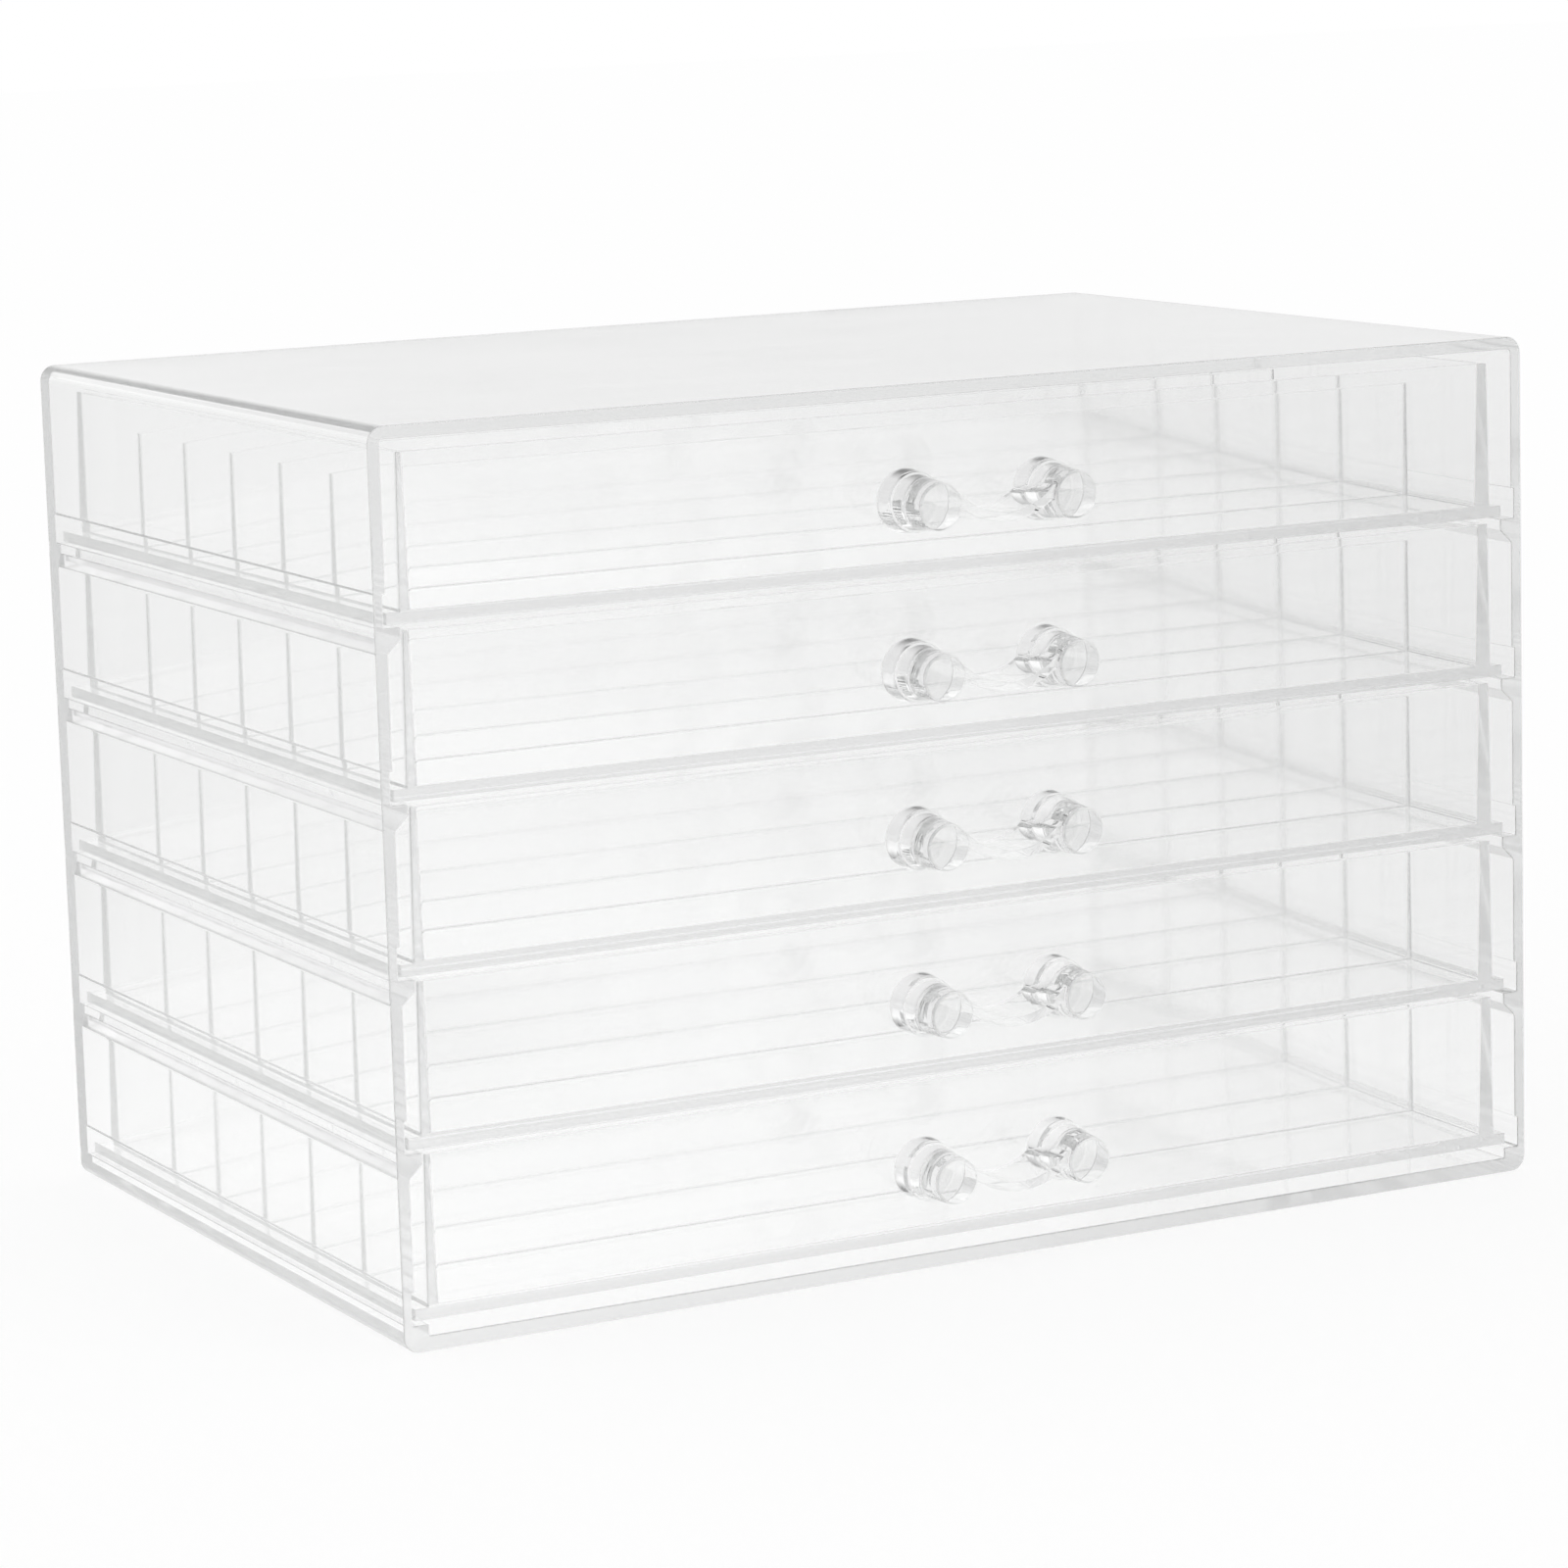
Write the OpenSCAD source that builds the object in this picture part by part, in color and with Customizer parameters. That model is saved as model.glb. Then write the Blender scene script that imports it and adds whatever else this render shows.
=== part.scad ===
// Clear necklace box: a moulded sleeve with five pull-out drawers.
// Each drawer runs on rails moulded into the side walls. It has a row of dividers
// for chains, and a two-post handle cemented to its front.
// The origin is the middle of the housing's underside, +Z is up and the front faces -Y.

/* [Housing] */
// Outside width
housing_w = 235; // [200:1:300]
// Outside depth, front edge to back face
housing_d = 157; // [135:1:220]
// Outside height
housing_h = 160; // [145:1:220]
// Thickness of the side walls
side_t = 2.3; // [1.8:0.1:3]
// Thickness of the top
top_t = 2.3; // [1.8:0.1:3.5]
// Thickness of the floor
floor_t = 2.8; // [2:0.1:4]
// Thickness of the back
back_t = 3; // [2:0.1:4.5]
// Radius of the four long outside edges
edge_r = 3; // [1.5:0.1:4]
// Radius of the four long inside corners
corner_r = 0.8; // [0.4:0.1:1.2]

/* [Rails] */
// Reach of a rail from the side wall
rail_w = 2.5; // [2:0.1:3.2]
// Height of a rail's upright lip
rail_lip = 2; // [1.5:0.1:3]
// Height of the groove in the wall above each rail
groove_h = 5.8; // [4:0.1:8]
// Depth of that groove
groove_t = 0.6; // [0.3:0.1:0.9]

/* [Drawers] */
// Thickness of a drawer's floor and runner flange
tray_t = 2.1; // [1.6:0.1:3]
// Thickness of a drawer wall at its foot
wall_foot = 2.3; // [1.8:0.1:3]
// Thickness of a drawer wall at its rim
wall_rim = 1.2; // [1:0.1:1.7]
// Reach of the runner flange outside each side wall
side_flange = 2.6; // [2.2:0.1:3.4]
// Reach of the floor behind the back wall
back_flange = 3.5; // [2:0.1:6]
// Distance of the drawer fronts behind the housing's front edge
front_setback = 2.2; // [1:0.1:6]

/* [Dividers] */
// Number of dividers in each drawer
divider_count = 5; // [2:1:7]
// Length of the bay behind the drawer front
front_bay = 22.7; // [18:0.1:28]
// Length of the bay before the back wall
rear_bay = 28.6; // [20:0.1:34]
// Thickness of a divider at its foot
divider_foot = 1.6; // [1.2:0.1:2.4]
// Thickness of a divider at its top
divider_top = 1.2; // [0.8:0.1:1.2]
// Distance of the divider tops below the rim
divider_drop = 5.7; // [2:0.1:12]

/* [Handles] */
// Distance between the two post axes
post_spacing = 27.7; // [24:0.1:40]
// Length of a post from the drawer front
post_len = 13; // [11:0.1:20]
// Diameter of a post at the drawer front
base_d = 11.5; // [11:0.1:14]
// Diameter of the base at its step
step_d = 10.8; // [10.2:0.1:11]
// Distance of the step from the drawer front
base_len = 4.3; // [2:0.1:6]
// Diameter of the post just past the step
neck_d = 9.9; // [9:0.1:10]
// Diameter of the post at its front face
tip_d = 8.5; // [7.5:0.1:9]
// Bevel around the front face
tip_bevel = 0.4; // [0.2:0.1:0.8]
// Thickness of the curved strap between the posts
strap_t = 1.7; // [1.2:0.1:2.2]
// Depth of the strap's upper face below the post axes at mid span
strap_dip = 2.1; // [1:0.1:3]
// Height of the strap's ends above the post axes
strap_rise = 2; // [1:0.1:2.5]
// Distance of the strap behind the posts' front faces
strap_setback = 0.9; // [0.5:0.1:3]
// Distance of the strap from the drawer front
strap_standoff = 0.8; // [0.4:0.1:3]
// Distance of the handle below the middle of the drawer front
handle_drop = 1.3; // [0:0.1:4]

/* [Clearances] */
// Side play of a runner flange in the housing
flange_gap = 0.8; // [0.5:0.1:1.2]
// Play of a runner flange above its rail
runner_gap = 0.2; // [0.1:0.05:0.5]
// Gap between a drawer's rim and the drawer above
drawer_gap = 0.9; // [0.5:0.1:2]
// Extra room above the top drawer
headroom = 1.6; // [0.5:0.1:6]
// Gap between a closed drawer and the housing's back
stop_gap = 0.3; // [0.2:0.1:1]
// Film of cement between a handle and its drawer
cement_gap = 0.05; // [0.02:0.01:0.1]

/* [Hidden] */
$fn = 64;
clear_plastic = [0.86, 0.89, 0.9, 0.35];
// Overrun of a cut past the face it opens
over = 1;

// Housing
drawer_count = 5;
inner_w = housing_w - 2 * side_t;
front_y = -housing_d / 2;
back_y = housing_d / 2 - back_t;
first_rail_z = floor_t + rail_lip;
rail_pitch = (housing_h - top_t - headroom - first_rail_z) / drawer_count;

// Drawers
drawer_h = rail_pitch - runner_gap - drawer_gap;
tray_w = inner_w - 2 * flange_gap;
body_w = tray_w - 2 * side_flange;
drawer_y = front_y + front_setback;
tray_d = back_y - stop_gap - drawer_y;
body_d = tray_d - back_flange;
wall_draft = (wall_foot - wall_rim) / 2;

// Dividers
divider_h = drawer_h - divider_drop;
divider_len = body_w - wall_foot;
first_divider = wall_foot + front_bay + divider_foot / 2;
last_divider = body_d - wall_foot - rear_bay - divider_foot / 2;
divider_pitch = (last_divider - first_divider) / (divider_count - 1);

// Handles
handle_z = drawer_h / 2 - handle_drop;
handle_y = drawer_y - cement_gap;
strap_sag = strap_dip + strap_rise;
strap_half = (post_spacing - tip_d) / 2;
strap_r = (strap_half * strap_half + strap_sag * strap_sag) / (2 * strap_sag);
strap_centre_z = strap_r - strap_dip;
strap_len = post_len - strap_setback - strap_standoff;

// Height of the rail under a drawer, counted from the top drawer down
function rail_z(drawer) = first_rail_z + (drawer_count - drawer) * rail_pitch;

// Height of a drawer's underside
function drawer_z(drawer) = rail_z(drawer) + runner_gap;

// Outline in X and Z, carried along Y from one depth to another
module along_y(from, to)
    translate([0, to, 0]) rotate([90, 0, 0]) linear_extrude(to - from) children();

// Outline in Y and Z, carried along X about the middle
module along_x(length)
    rotate([90, 0, 90]) linear_extrude(length, center = true) children();

// Upright rectangle standing on the X axis, with round corners
module rounded_outline(width, height, radius) {
    translate([-width / 2, radius]) square([width, height - 2 * radius]);
    translate([-width / 2 + radius, 0]) square([width - 2 * radius, height]);
    for (side = [-1, 1], z = [radius, height - radius])
        translate([side * (width / 2 - radius), z]) circle(radius);
}

// Rail on the right-hand wall: an upright lip with a sloping underside
module rail_outline(z)
    polygon([[inner_w / 2 + groove_t, z], [inner_w / 2 - rail_w, z],
             [inner_w / 2 - rail_w, z - rail_lip], [inner_w / 2, z - rail_lip - rail_w],
             [inner_w / 2 + groove_t, z - rail_lip - rail_w]]);

// Lowest rail, which stands on the floor
module floor_rail_outline()
    translate([inner_w / 2 - rail_w, floor_t - over])
        square([rail_w + groove_t, rail_lip + over]);

// Shallow groove in the right-hand wall above a rail
module groove_outline(z)
    translate([inner_w / 2 - over, z]) square([groove_t + over, groove_h]);

// Both mirrored sides of an outline
module both_sides() {
    children();
    mirror([1, 0]) children();
}

module housing() color(clear_plastic) {
    difference() {
        along_y(front_y, housing_d / 2) rounded_outline(housing_w, housing_h, edge_r);
        along_y(front_y - over, back_y) translate([0, floor_t])
            rounded_outline(inner_w, housing_h - floor_t - top_t, corner_r);
        for (i = [1 : drawer_count])
            along_y(front_y - over, back_y) both_sides() groove_outline(rail_z(i));
    }
    for (i = [1 : drawer_count - 1])
        along_y(front_y, back_y + over) both_sides() rail_outline(rail_z(i));
    along_y(front_y, back_y + over) both_sides() floor_rail_outline();
}

// Solid inside a drawer's outer faces; the sides and the back lean in towards the rim
module drawer_block() intersection() {
    along_y(0, body_d) polygon([[-body_w / 2, 0], [body_w / 2, 0],
        [body_w / 2 - wall_draft, drawer_h], [-body_w / 2 + wall_draft, drawer_h]]);
    along_x(body_w) polygon([[0, 0], [body_d, 0], [body_d - wall_draft, drawer_h], [0, drawer_h]]);
}

// Space inside a drawer's walls, which widens towards the rim
module drawer_space() {
    foot_x = body_w / 2 - wall_foot;
    rim_x = foot_x + wall_draft;
    foot_y = body_d - wall_foot;
    intersection() {
        along_y(0, body_d) polygon([[-foot_x, tray_t], [foot_x, tray_t], [rim_x, drawer_h],
            [rim_x, drawer_h + over], [-rim_x, drawer_h + over], [-rim_x, drawer_h]]);
        along_x(body_w) polygon([[wall_foot, tray_t], [foot_y, tray_t],
            [foot_y + wall_draft, drawer_h], [foot_y + wall_draft, drawer_h + over],
            [wall_foot - wall_draft, drawer_h + over], [wall_foot - wall_draft, drawer_h]]);
    }
}

// Divider across a drawer, thinner at its top
module divider()
    along_x(divider_len) polygon([[-divider_foot / 2, tray_t / 2], [divider_foot / 2, tray_t / 2],
        [divider_top / 2, divider_h], [-divider_top / 2, divider_h]]);

// Drawer with its front face at Y 0 and its underside at Z 0
module drawer() {
    difference() {
        drawer_block();
        drawer_space();
    }
    translate([-tray_w / 2, 0, 0]) cube([tray_w, tray_d, tray_t]);
    for (i = [0 : divider_count - 1])
        translate([0, first_divider + i * divider_pitch, 0]) divider();
}

// Post along +Z: a drafted base, a step and a drafted nose with a bevelled rim
module post()
    rotate_extrude() polygon([[0, 0], [base_d / 2, 0], [step_d / 2, base_len], [neck_d / 2, base_len],
        [tip_d / 2, post_len - tip_bevel], [tip_d / 2 - tip_bevel, post_len], [0, post_len]]);

// Strap outline: part of a ring that hangs between the posts
module strap_outline()
    intersection() {
        difference() {
            translate([0, strap_centre_z]) circle(strap_r + strap_t);
            translate([0, strap_centre_z]) circle(strap_r);
        }
        translate([-post_spacing / 2, -strap_centre_z])
            square([post_spacing, strap_centre_z + strap_rise]);
    }

// Handle with its back face at Y 0 and its post axes at Z 0
module handle() {
    for (side = [-1, 1])
        translate([side * post_spacing / 2, 0, 0]) rotate([90, 0, 0]) post();
    along_y(-strap_standoff - strap_len, -strap_standoff) strap_outline();
}

module drawer_at(i) color(clear_plastic)
    translate([0, drawer_y, drawer_z(i)]) drawer();

module handle_at(i) color(clear_plastic)
    translate([0, handle_y, drawer_z(i) + handle_z]) handle();

housing();
for (i = [1 : drawer_count]) {
    drawer_at(i);
    handle_at(i);
}
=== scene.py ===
"""Looks of a clear moulded necklace box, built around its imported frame."""

import logging
import math
from dataclasses import dataclass, field
from enum import Enum
from typing import Any, Optional, Union

import bmesh
import bpy
from mathutils import Matrix, Vector


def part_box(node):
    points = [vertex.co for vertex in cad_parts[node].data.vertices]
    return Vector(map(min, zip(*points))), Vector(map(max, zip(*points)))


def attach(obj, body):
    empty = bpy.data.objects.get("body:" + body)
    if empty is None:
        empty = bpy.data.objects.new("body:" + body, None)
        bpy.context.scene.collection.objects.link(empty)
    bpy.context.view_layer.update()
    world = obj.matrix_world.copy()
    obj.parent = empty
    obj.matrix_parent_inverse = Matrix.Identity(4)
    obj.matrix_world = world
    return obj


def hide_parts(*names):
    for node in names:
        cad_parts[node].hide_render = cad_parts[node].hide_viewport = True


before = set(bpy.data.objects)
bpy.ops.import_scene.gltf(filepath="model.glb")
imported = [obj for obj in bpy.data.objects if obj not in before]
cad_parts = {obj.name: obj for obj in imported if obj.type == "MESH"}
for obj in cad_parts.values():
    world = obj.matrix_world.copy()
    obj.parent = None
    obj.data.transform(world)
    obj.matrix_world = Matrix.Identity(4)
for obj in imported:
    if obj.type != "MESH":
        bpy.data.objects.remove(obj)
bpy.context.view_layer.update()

MM = 0.001
LOG = logging.getLogger("necklace_box")

Colour = tuple[float, float, float]
Number = Union[int, float]


class Ray(Enum):
    """Kinds of ray that a surface or the surroundings can answer in their own way."""

    CAMERA = "Is Camera Ray"
    SHADOW = "Is Shadow Ray"
    GLOSSY = "Is Glossy Ray"
    TRANSMISSION = "Is Transmission Ray"


class Term:
    """A shader value that can be used in ordinary arithmetic."""

    def __init__(self, sheet: "Sheet", socket: bpy.types.NodeSocket) -> None:
        """Keeps the socket and the sheet that new nodes go on.

        Args:
            sheet: The node sheet.
            socket: An output socket with a single value.
        """
        self.sheet = sheet
        self.socket = socket

    def _maths(self, operation: str, first: "Value", second: "Value") -> "Term":
        """Adds one Math node.

        Args:
            operation: The node's operation.
            first: Its first value.
            second: Its second value.

        Returns:
            The node's result.
        """
        return self.sheet.term("ShaderNodeMath", {"operation": operation}, {0: first, 1: second})

    def __add__(self, other: "Value") -> "Term":
        """Sum of two values."""
        return self._maths("ADD", self, other)

    def __radd__(self, other: "Value") -> "Term":
        """Sum with the number first."""
        return self._maths("ADD", other, self)

    def __sub__(self, other: "Value") -> "Term":
        """Difference of two values."""
        return self._maths("SUBTRACT", self, other)

    def __rsub__(self, other: "Value") -> "Term":
        """Difference with the number first."""
        return self._maths("SUBTRACT", other, self)

    def __mul__(self, other: "Value") -> "Term":
        """Product of two values."""
        return self._maths("MULTIPLY", self, other)

    def __rmul__(self, other: "Value") -> "Term":
        """Product with the number first."""
        return self._maths("MULTIPLY", other, self)

    def __or__(self, other: "Value") -> "Term":
        """Larger of two values, which joins two masks."""
        return self._maths("MAXIMUM", self, other)


Value = Union[Term, Number]


class Sheet:
    """The node sheet of one material or of the world."""

    def __init__(self, tree: bpy.types.NodeTree) -> None:
        """Clears the tree.

        Args:
            tree: The node tree of a material or a world.
        """
        self.tree = tree
        self.tree.nodes.clear()

    def node(self, kind: str, settings: dict[str, Any], inputs: dict[Any, Any]) -> bpy.types.Node:
        """Adds a node.

        Args:
            kind: The node's type.
            settings: Its own settings, which are set first.
            inputs: Values, terms or sockets by the name or number of the input.

        Returns:
            The new node.
        """
        made = self.tree.nodes.new(kind)
        for name, value in settings.items():
            setattr(made, name, value)
        for key, value in inputs.items():
            if isinstance(value, Term):
                value = value.socket
            if isinstance(value, bpy.types.NodeSocket):
                self.tree.links.new(value, made.inputs[key])
            else:
                made.inputs[key].default_value = value
        return made

    def term(self, kind: str, settings: dict[str, Any], inputs: dict[Any, Any], output: Any = 0) -> Term:
        """Adds a node and takes one of its values.

        Args:
            kind: The node's type.
            settings: Its own settings.
            inputs: Values, terms or sockets by input.
            output: Name or number of the output that is used.

        Returns:
            That output as a term.
        """
        return Term(self, self.node(kind, settings, inputs).outputs[output])

    def rays(self, *kinds: Ray) -> Term:
        """Mask of the rays of these kinds.

        Args:
            kinds: The kinds of ray.

        Returns:
            One for these rays and zero for the rest.
        """
        path = self.node("ShaderNodeLightPath", {}, {})
        mask = Term(self, path.outputs[kinds[0].value])
        for kind in kinds[1:]:
            mask = mask | Term(self, path.outputs[kind.value])
        return mask


@dataclass(frozen=True)
class ClearPlastic:
    """Water-clear moulded plastic with a polished skin.

    Attributes:
        name: Name of the material.
        tint: Colour that a wall leaves in light that crosses it.
        ior: Index of refraction.
        shade: Colour that a lamp keeps at each face that it crosses.
        ripple: Height of the slow waves that moulding leaves, in metres.
        ripple_length: Length of those waves, in metres.
        polish: Roughness of the polished skin.
        rubbed: Roughness that handling adds in patches.
        absorb: Strength with which the depth of the plastic takes light, per metre.
        body: Colour that the depth of the plastic spares.
    """

    name: str
    tint: Colour = (0.994, 0.995, 0.9945)
    ior: float = 1.55
    shade: Colour = (0.985, 0.987, 0.987)
    ripple: float = 0.00003
    ripple_length: float = 0.030
    polish: float = 0.045
    rubbed: float = 0.03
    absorb: float = 0.8
    body: Colour = (0.20, 0.22, 0.21)

    def make(self) -> bpy.types.Material:
        """Makes the material.

        Returns:
            A clear material that lamps shine through.
        """
        made = bpy.data.materials.new(self.name)
        made.use_nodes = True
        sheet = Sheet(made.node_tree)
        place = sheet.node("ShaderNodeTexCoord", {}, {}).outputs["Object"]
        skin = sheet.node("ShaderNodeBsdfPrincipled", {}, {
            "Base Color": (*self.tint, 1.0),
            "Roughness": self._roughness(sheet, place),
            "IOR": self.ior,
            "Transmission Weight": 1.0,
            "Normal": self._ripples(sheet, place),
        })
        open_skin = sheet.node("ShaderNodeBsdfTransparent", {}, {"Color": (*self.shade, 1.0)})
        both = sheet.node("ShaderNodeMixShader", {}, {
            0: sheet.rays(Ray.SHADOW), 1: skin.outputs[0], 2: open_skin.outputs[0]})
        depth = sheet.node("ShaderNodeVolumeAbsorption", {}, {
            "Color": (*self.body, 1.0), "Density": self.absorb})
        sheet.node("ShaderNodeOutputMaterial", {}, {
            "Surface": both.outputs[0], "Volume": depth.outputs[0]})
        return made

    def _roughness(self, sheet: Sheet, place: bpy.types.NodeSocket) -> Term:
        """Polish that is a little duller in patches where hands and cloths have been.

        Args:
            sheet: The material's sheet.
            place: Place on the object.

        Returns:
            The roughness.
        """
        patches = sheet.term("ShaderNodeTexNoise", {}, {
            "Vector": place, "Scale": 1 / (1.5 * self.ripple_length), "Detail": 3.0, "Roughness": 0.6})
        worn = sheet.term("ShaderNodeMapRange", {"interpolation_type": "SMOOTHSTEP"}, {
            "Value": patches, "From Min": 0.5, "From Max": 0.75})
        return worn * self.rubbed + self.polish

    def _ripples(self, sheet: Sheet, place: bpy.types.NodeSocket) -> bpy.types.NodeSocket:
        """Slow waves that moulding leaves in a flat wall.

        Args:
            sheet: The material's sheet.
            place: Place on the object.

        Returns:
            The bent normal.
        """
        waves = sheet.term("ShaderNodeTexNoise", {}, {
            "Vector": place, "Scale": 1 / self.ripple_length, "Detail": 1.5, "Roughness": 0.4})
        bump = sheet.node("ShaderNodeBump", {}, {
            "Strength": 1.0, "Distance": self.ripple, "Height": waves})
        return bump.outputs[0]


@dataclass(frozen=True)
class ClearCement:
    """Cement that joins two clear pieces so closely that light passes straight from one to the other.

    Attributes:
        name: Name of the material.
        tint: Colour that the film leaves in light that crosses it.
    """

    name: str
    tint: Colour = (0.995, 0.996, 0.995)

    def make(self) -> bpy.types.Material:
        """Makes the material, whose index is the same as that of the plastic on both sides.

        Returns:
            The film.
        """
        made = bpy.data.materials.new(self.name)
        made.use_nodes = True
        sheet = Sheet(made.node_tree)
        film = sheet.node("ShaderNodeBsdfPrincipled", {}, {
            "Base Color": (*self.tint, 1.0), "Roughness": 0.0, "IOR": 1.0, "Transmission Weight": 1.0})
        sheet.node("ShaderNodeOutputMaterial", {}, {"Surface": film.outputs[0]})
        return made


@dataclass(frozen=True)
class BrokenEdge:
    """Small rounds left on every edge of a moulding, and at the root of every rib.

    Attributes:
        radius: Radius of the round on an edge, in metres.
        root: Radius of the round in a corner, in metres, or none where corners stay crisp.
        upright: Radius of the round in an upright corner where it differs, in metres.
        steps: Faces across a round.
        sharp: Least angle between faces that makes an edge, in degrees.
        sliver: Width of the slivers that are taken out after a round, in metres.
    """

    radius: float = 0.25 * MM
    root: Optional[float] = 0.25 * MM
    upright: Optional[float] = None
    steps: int = 2
    sharp: float = 25.0
    sliver: float = 0.002 * MM

    LONG = 2 * MM

    def cut(self, body: bmesh.types.BMesh) -> None:
        """Rounds the corners of a mesh, then its edges.

        Args:
            body: The mesh to work on.
        """
        if self.root is None:
            crisp = {v for e in self._bends(body, -1) for v in e.verts}
            self._round(body, [e for e in self._bends(body, 1) if not crisp.intersection(e.verts)], self.radius)
            return
        if self.upright is None:
            self._round(body, self._bends(body, -1), self.root)
        else:
            flat = [e for e in self._bends(body, -1) if not self._stands(e) and e.calc_length() > self.LONG]
            self._round(body, flat, self.root)
            self._round(body, [e for e in self._bends(body, -1) if self._stands(e)], self.upright)
        self._round(body, self._bends(body, 1), self.radius)

    def _bends(self, body: bmesh.types.BMesh, way: int) -> list[bmesh.types.BMEdge]:
        """Finds the edges at which a mesh bends.

        Args:
            body: The mesh.
            way: One for its edges and minus one for its corners.

        Returns:
            Those edges.
        """
        least = math.radians(self.sharp)
        return [e for e in body.edges if len(e.link_faces) == 2 and way * e.calc_face_angle_signed(0.0) > least]

    def _stands(self, edge: bmesh.types.BMEdge) -> bool:
        """Tells whether an edge stands upright."""
        return abs(edge.verts[1].co.z - edge.verts[0].co.z) > 0.9 * edge.calc_length()

    def _round(self, body: bmesh.types.BMesh, edges: list[bmesh.types.BMEdge], size: float) -> None:
        """Rounds some edges.

        Args:
            body: The mesh.
            edges: The edges to round.
            size: Radius of the round, in metres.
        """
        bmesh.ops.bevel(body, geom=edges, offset=size, offset_type="OFFSET", segments=self.steps,
                        profile=0.5, affect="EDGES", clamp_overlap=True)
        bmesh.ops.remove_doubles(body, verts=body.verts, dist=self.sliver)


@dataclass
class Moulding:
    """One moulded piece, cast on its CAD node with every edge broken.

    Attributes:
        node: Name of the CAD node.
        body: Name of the body that it moves with.
        slot: Material slot of the record; not used.
        finish: Its plastic.
        edge: The round on its edges.
        cement: Film on the faces that are cemented, if it has any.
    """

    node: str
    body: str
    slot: str
    finish: bpy.types.Material
    edge: BrokenEdge = field(default_factory=BrokenEdge)
    cement: Optional[bpy.types.Material] = None

    WELD = 1e-6
    FLAT = math.radians(0.2)
    CRISP = math.radians(48.0)

    def build(self) -> bpy.types.Object:
        """Casts the piece, rounds its edges and puts it in its node's place.

        Returns:
            The piece.
        """
        cast = bmesh.new()
        cast.from_mesh(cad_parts[self.node].data)
        bmesh.ops.remove_doubles(cast, verts=cast.verts, dist=self.WELD)
        bmesh.ops.dissolve_limit(cast, angle_limit=self.FLAT, verts=cast.verts, edges=cast.edges)
        self.edge.cut(cast)
        for face in cast.faces:
            face.smooth = True
            face.material_index = 0
        self.lay_cement(cast)
        for edge in cast.edges:
            edge.smooth = edge.calc_face_angle(0.0) < self.CRISP
        mesh = bpy.data.meshes.new(f"{self.node}_moulding")
        cast.to_mesh(mesh)
        cast.free()
        piece = bpy.data.objects.new(f"{self.node}_moulding", mesh)
        bpy.context.scene.collection.objects.link(piece)
        self.dress(piece)
        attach(piece, self.body)
        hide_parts(self.node)
        return piece

    def lay_cement(self, cast: bmesh.types.BMesh) -> None:
        """Marks the cemented faces, of which a plain moulding has none."""

    def dress(self, piece: bpy.types.Object) -> None:
        """Gives the piece its plastic and keeps its flat faces flat.

        Args:
            piece: The piece.
        """
        piece.data.materials.clear()
        for finish in (self.finish, self.cement):
            if finish:
                piece.data.materials.append(finish)
        flat = piece.modifiers.new("flat_faces", "WEIGHTED_NORMAL")
        flat.mode = "FACE_AREA"
        flat.weight = 100
        flat.keep_sharp = True


@dataclass
class HandleMoulding(Moulding):
    """A handle, whose two posts are cemented to a drawer front by their back faces."""

    def lay_cement(self, cast: bmesh.types.BMesh) -> None:
        """Puts the film on the back faces.

        Args:
            cast: The handle's mesh.
        """
        back = max(v.co.y for v in cast.verts)
        for face in cast.faces:
            if all(v.co.y > back - self.WELD for v in face.verts):
                face.material_index = 1


@dataclass
class DrawerMoulding(Moulding):
    """A drawer, with two round places on its front where the handle is cemented.

    Attributes:
        handle: Name of the handle's node.
        inset: Width of the broken edge round the back of a post, in metres.
        points: Points round each place.
    """

    handle: str = ""
    inset: float = 0.15 * MM
    points: int = 96

    def lay_cement(self, cast: bmesh.types.BMesh) -> None:
        """Cuts the two places out of the front face and puts the film on them.

        Args:
            cast: The drawer's mesh.
        """
        low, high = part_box(self.handle)
        radius = (high[2] - low[2]) / 2
        front = min(v.co.y for v in cast.verts)
        face = max((f for f in cast.faces if f.normal.y < -0.99 and f.calc_center_median().y < front + self.WELD),
                   key=lambda f: f.calc_area())
        rim = list(face.edges)
        bmesh.ops.delete(cast, geom=[face], context="FACES_ONLY")
        for x in (low[0] + radius, high[0] - radius):
            middle = Vector((x, front, (low[2] + high[2]) / 2))
            place = self._round_place(cast, middle, radius - self.inset)
            rim.extend(place.edges)
        filled = bmesh.ops.triangle_fill(cast, edges=rim, normal=(0.0, -1.0, 0.0), use_beauty=True)
        for part in filled["geom"]:
            if isinstance(part, bmesh.types.BMFace):
                part.smooth = True
        bmesh.ops.recalc_face_normals(cast, faces=cast.faces)

    def _round_place(self, cast: bmesh.types.BMesh, middle: Vector, radius: float) -> bmesh.types.BMFace:
        """Makes one round place.

        Args:
            cast: The drawer's mesh.
            middle: Its middle.
            radius: Its radius.

        Returns:
            The round face.
        """
        ring = []
        for i in range(self.points):
            turn = math.tau * i / self.points
            ring.append(cast.verts.new(middle + radius * Vector((math.cos(turn), 0.0, math.sin(turn)))))
        place = cast.faces.new(ring)
        place.material_index = 1
        place.smooth = True
        return place


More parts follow.
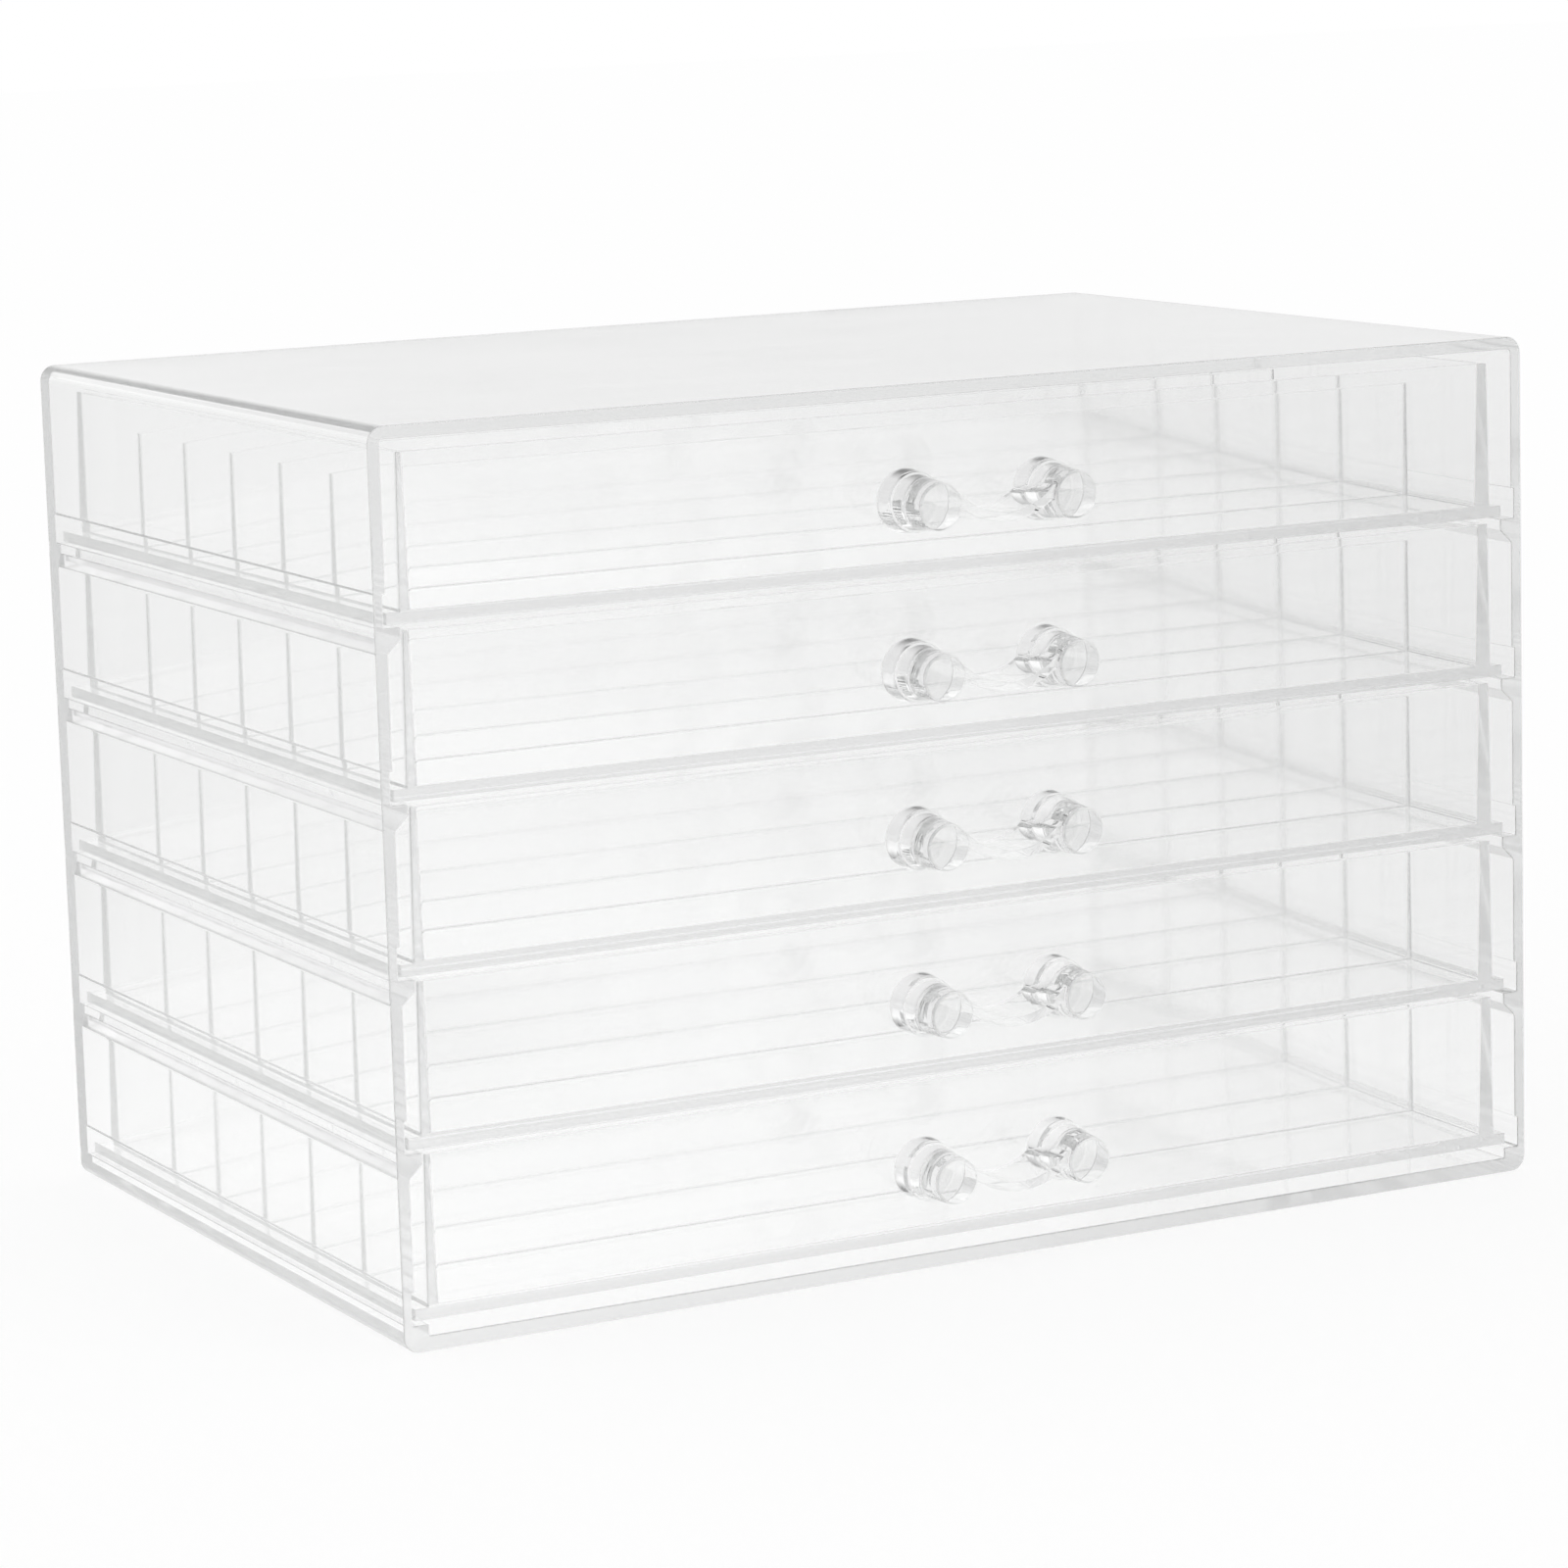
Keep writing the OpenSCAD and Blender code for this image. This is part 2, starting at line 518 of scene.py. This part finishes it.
@dataclass
class NecklaceBox:
    """The whole box: a housing and its drawers, each with a handle.

    Attributes:
        drawers: Number of drawers.
        housing_plastic: Plastic of the housing, which has the higher polish.
        drawer_plastic: Plastic of the drawers.
        handle_plastic: Plastic of the handles.
        cement: Cement between the handles and the drawers.
        housing_edge: Rounds on the housing.
        drawer_edge: Rounds on the drawers, whose dividers have wide roots.
        handle_edge: Round on the edges of the handles.
    """

    drawers: int = 5
    housing_plastic: ClearPlastic = ClearPlastic("clear_housing", absorb=1.0)
    drawer_plastic: ClearPlastic = ClearPlastic("clear_drawer", tint=(0.9985, 0.999, 0.9988), absorb=1.2)
    handle_plastic: ClearPlastic = ClearPlastic(
        "clear_handle_cast", ripple_length=0.008, ripple=0.000006, polish=0.006, rubbed=0.012, absorb=2.5)
    cement: ClearCement = ClearCement("clear_cement")
    housing_edge: BrokenEdge = BrokenEdge()
    drawer_edge: BrokenEdge = BrokenEdge(
        radius=0.15 * MM, root=0.2 * MM, upright=0.5 * MM, steps=3, sliver=0.01 * MM)
    handle_edge: BrokenEdge = BrokenEdge(radius=0.25 * MM, root=None, steps=3)

    def build(self) -> None:
        """Builds every piece and reports it."""
        shell = self.housing_plastic.make()
        tray = self.drawer_plastic.make()
        pull = self.handle_plastic.make()
        film = self.cement.make()
        mouldings = [Moulding("housing", "housing", "clear_plastic", shell, self.housing_edge)]
        for i in range(1, self.drawers + 1):
            body = f"drawer_{i}"
            handle = f"handle_{i}"
            mouldings.append(DrawerMoulding(
                body, body, "clear_plastic", tray, self.drawer_edge, film, handle, self.handle_edge.radius))
            mouldings.append(HandleMoulding(handle, body, "clear_handle", pull, self.handle_edge, film))
        for moulding in mouldings:
            piece = moulding.build()
            LOG.info("%s: %d faces", piece.name, len(piece.data.polygons))


@dataclass(frozen=True)
class Panel:
    """A round soft panel in the surroundings, as clear plastic shows it.

    Attributes:
        azimuth: Where it stands round the box, in degrees from the right-hand side.
        elevation: How high it stands, in degrees.
        inner: Half the angle that it fills evenly, in degrees.
        outer: Half the angle at which it has faded out, in degrees.
        level: What it adds to the brightness, or the share that it takes away where it is negative.
    """

    azimuth: float
    elevation: float
    inner: float
    outer: float
    level: float

    def mask(self, sheet: Sheet, way: bpy.types.NodeSocket) -> Term:
        """Finds how much of the panel a ray meets.

        Args:
            sheet: The world's sheet.
            way: Direction of the ray.

        Returns:
            One in the middle of the panel and zero away from it.
        """
        turn, rise = math.radians(self.azimuth), math.radians(self.elevation)
        middle = (math.cos(rise) * math.cos(turn), math.cos(rise) * math.sin(turn), math.sin(rise))
        near = sheet.term("ShaderNodeVectorMath", {"operation": "DOT_PRODUCT"}, {0: way, 1: middle}, "Value")
        return sheet.term("ShaderNodeMapRange", {"interpolation_type": "SMOOTHSTEP"}, {
            "Value": near, "From Min": math.cos(math.radians(self.outer)),
            "From Max": math.cos(math.radians(self.inner))})


@dataclass(frozen=True)
class FloorShade:
    """A soft painted shade in the floor's glow, as clear plastic shows it.

    Attributes:
        middle: Place of its middle on the floor, in metres.
        full: Radius at which it is full, in metres.
        clear: Radius at which it has faded out, in metres.
        share: Share of the floor's brightness that it takes away.
    """

    middle: tuple[float, float]
    full: float
    clear: float
    share: float

    def kept(self, sheet: Sheet) -> Term:
        """Finds the brightness that the shade leaves.

        Args:
            sheet: The floor's sheet.

        Returns:
            One away from the shade and less in it.
        """
        place = sheet.node("ShaderNodeTexCoord", {}, {}).outputs["Object"]
        away = sheet.term("ShaderNodeVectorMath", {"operation": "DISTANCE"}, {
            0: place, 1: (*self.middle, 0.0)}, "Value")
        return sheet.term("ShaderNodeMapRange", {"interpolation_type": "SMOOTHSTEP"}, {
            "Value": away, "From Min": self.full, "From Max": self.clear,
            "To Min": 1 - self.share, "To Max": 1.0})


@dataclass
class Studio:
    """White floor, soft light and the camera.

    Attributes:
        floor_size: Width of the floor, in metres.
        floor_colour: Colour of the floor.
        floor_glow: Share of the floor that shows as plain white.
        floor_through: That share as clear plastic shows it.
        floor_shown: Brightness of that share as clear plastic shows it.
        plain_light: Strength of the even light.
        rings: Elevation in degrees and brightness of the surroundings, as clear plastic shows them.
        camera_side: The dark of the room round the camera.
        front_panel: The light panel in front, to the right of the camera.
        high_panel: The light panel high on the right.
        rear_panel: The broad light panel behind, on the left.
        floor_shade: The painted shade in the floor's glow in front of the camera.
        floor_spot: Painted pool of light: the floor's glow is brightest near the box and falls away from it.
        bounces: Faces that a ray of light may meet, many because the walls guide light to their edges.
        camera_place: Place of the camera.
        camera_aim: Point in the middle of the picture.
        camera_roll: Turn of the camera about its view, in degrees.
        lens: Focal length on a 36 mm sensor, in millimetres.
    """

    floor_size: float = 12.0
    floor_colour: Colour = (0.96, 0.96, 0.96)
    floor_glow: float = 0.8
    floor_through: float = 0.95
    floor_shown: float = 0.98
    plain_light: float = 1.0
    rings: tuple[tuple[float, float], ...] = (
        (0.0, 0.87), (15.0, 0.87), (22.0, 0.42), (48.0, 0.40), (64.0, 0.40), (74.0, 0.05))
    camera_side: Panel = Panel(210.0, 18.0, 20.0, 60.0, -0.92)
    front_panel: Panel = Panel(285.0, 11.0, 8.0, 24.0, 0.46)
    high_panel: Panel = Panel(0.0, 55.0, 14.0, 30.0, 1.3)
    rear_panel: Panel = Panel(90.0, 30.0, 16.0, 34.0, 0.35)
    floor_shade: FloorShade = FloorShade((-0.15, -0.33), 0.09, 0.22, 0.85)
    floor_spot: FloorShade = FloorShade((-0.06, -0.02), 0.44, 0.10, 0.11)
    bounces: int = 512
    camera_place: tuple[float, float, float] = (-0.4696, -0.8944, 0.2472)
    camera_aim: tuple[float, float, float] = (0.0005, 0.0, 0.0766)
    camera_roll: float = -1.675
    lens: float = 122.27

    SEEN = (Ray.GLOSSY, Ray.TRANSMISSION)

    def build(self) -> None:
        """Sets up the floor, the surroundings, the camera and the view."""
        scene = bpy.context.scene
        scene.view_settings.view_transform = "Standard"
        scene.cycles.max_bounces = self.bounces
        scene.cycles.transmission_bounces = self.bounces
        scene.cycles.glossy_bounces = self.bounces
        scene.cycles.transparent_max_bounces = 64
        scene.cycles.blur_glossy = 0.0
        self._floor()
        self._surroundings()
        self._camera()

    def _floor(self) -> None:
        """Lays the floor."""
        mesh = bpy.data.meshes.new("floor")
        half = self.floor_size / 2
        corners = [(-half, -half, 0.0), (half, -half, 0.0), (half, half, 0.0), (-half, half, 0.0)]
        mesh.from_pydata(corners, [], [(0, 1, 2, 3)])
        floor = bpy.data.objects.new("floor", mesh)
        floor.location.z = -0.2 * MM
        bpy.context.scene.collection.objects.link(floor)
        made = bpy.data.materials.new("floor_paper")
        made.use_nodes = True
        made.cycles.emission_sampling = "NONE"
        sheet = Sheet(made.node_tree)
        paper = sheet.node("ShaderNodeBsdfDiffuse", {}, {"Color": (*self.floor_colour, 1.0)})
        camera = sheet.rays(Ray.CAMERA)
        # Painted shade in front of the camera and a painted pool of light round the box, in the floor's glow that
        # clear plastic shows.
        shown = self.floor_shade.kept(sheet) * self.floor_spot.kept(sheet) * self.floor_shown
        level = camera + (1 - camera) * shown
        glow = sheet.node("ShaderNodeEmission", {}, {"Color": (1.0, 1.0, 1.0, 1.0), "Strength": level})
        mix = sheet.node("ShaderNodeMixShader", {}, {
            0: camera * self.floor_glow + sheet.rays(*self.SEEN) * self.floor_through,
            1: paper.outputs[0], 2: glow.outputs[0]})
        sheet.node("ShaderNodeOutputMaterial", {}, {"Surface": mix.outputs[0]})
        mesh.materials.append(made)

    def _surroundings(self) -> None:
        """Makes the white surroundings, which are greyer overhead as clear plastic shows them."""
        world = bpy.data.worlds.new("studio")
        bpy.context.scene.world = world
        world.use_nodes = True
        world.cycles.sampling_method = "NONE"
        sheet = Sheet(world.node_tree)
        way = sheet.node("ShaderNodeTexCoord", {}, {}).outputs["Generated"]
        height = sheet.term("ShaderNodeSeparateXYZ", {}, {0: way}, "Z")
        dark = 1 + self.camera_side.level * self.camera_side.mask(sheet, way)
        ring = self._ring_ramp(sheet, height) * dark
        for panel in (self.front_panel, self.high_panel, self.rear_panel):
            ring = ring + panel.level * panel.mask(sheet, way)
        shown = sheet.rays(*self.SEEN)
        camera = sheet.rays(Ray.CAMERA)
        level = camera + (1 - camera) * (shown * ring + (1 - shown) * self.plain_light)
        light = sheet.node("ShaderNodeBackground", {}, {"Color": (1.0, 1.0, 1.0, 1.0), "Strength": level})
        sheet.node("ShaderNodeOutputWorld", {}, {"Surface": light.outputs[0]})

    def _ring_ramp(self, sheet: Sheet, height: Term) -> Term:
        """Brightness of the surroundings by height.

        Args:
            sheet: The world's sheet.
            height: Sine of the elevation.

        Returns:
            The brightness.
        """
        ramp = sheet.node("ShaderNodeValToRGB", {}, {0: height})
        stops = ramp.color_ramp.elements
        for _ in self.rings[2:]:
            stops.new(0.5)
        for stop, (degrees, level) in zip(stops, self.rings):
            stop.position = math.sin(math.radians(degrees))
            stop.color = (level, level, level, 1.0)
        return Term(sheet, ramp.outputs["Color"])

    def _camera(self) -> None:
        """Places the camera at the photograph's view."""
        data = bpy.data.cameras.new("camera")
        data.lens = self.lens
        data.sensor_width = 36.0
        data.clip_start = 0.01
        camera = bpy.data.objects.new("camera", data)
        bpy.context.scene.collection.objects.link(camera)
        place = Vector(self.camera_place)
        turn = (Vector(self.camera_aim) - place).to_track_quat("-Z", "Y").to_matrix().to_4x4()
        roll = Matrix.Rotation(math.radians(self.camera_roll), 4, "Z")
        camera.matrix_world = Matrix.Translation(place) @ turn @ roll
        bpy.context.scene.camera = camera


def main() -> None:
    """Builds the box and its studio."""
    logging.basicConfig(level=logging.INFO)
    NecklaceBox().build()
    Studio().build()


if __name__ == "__main__":
    main()
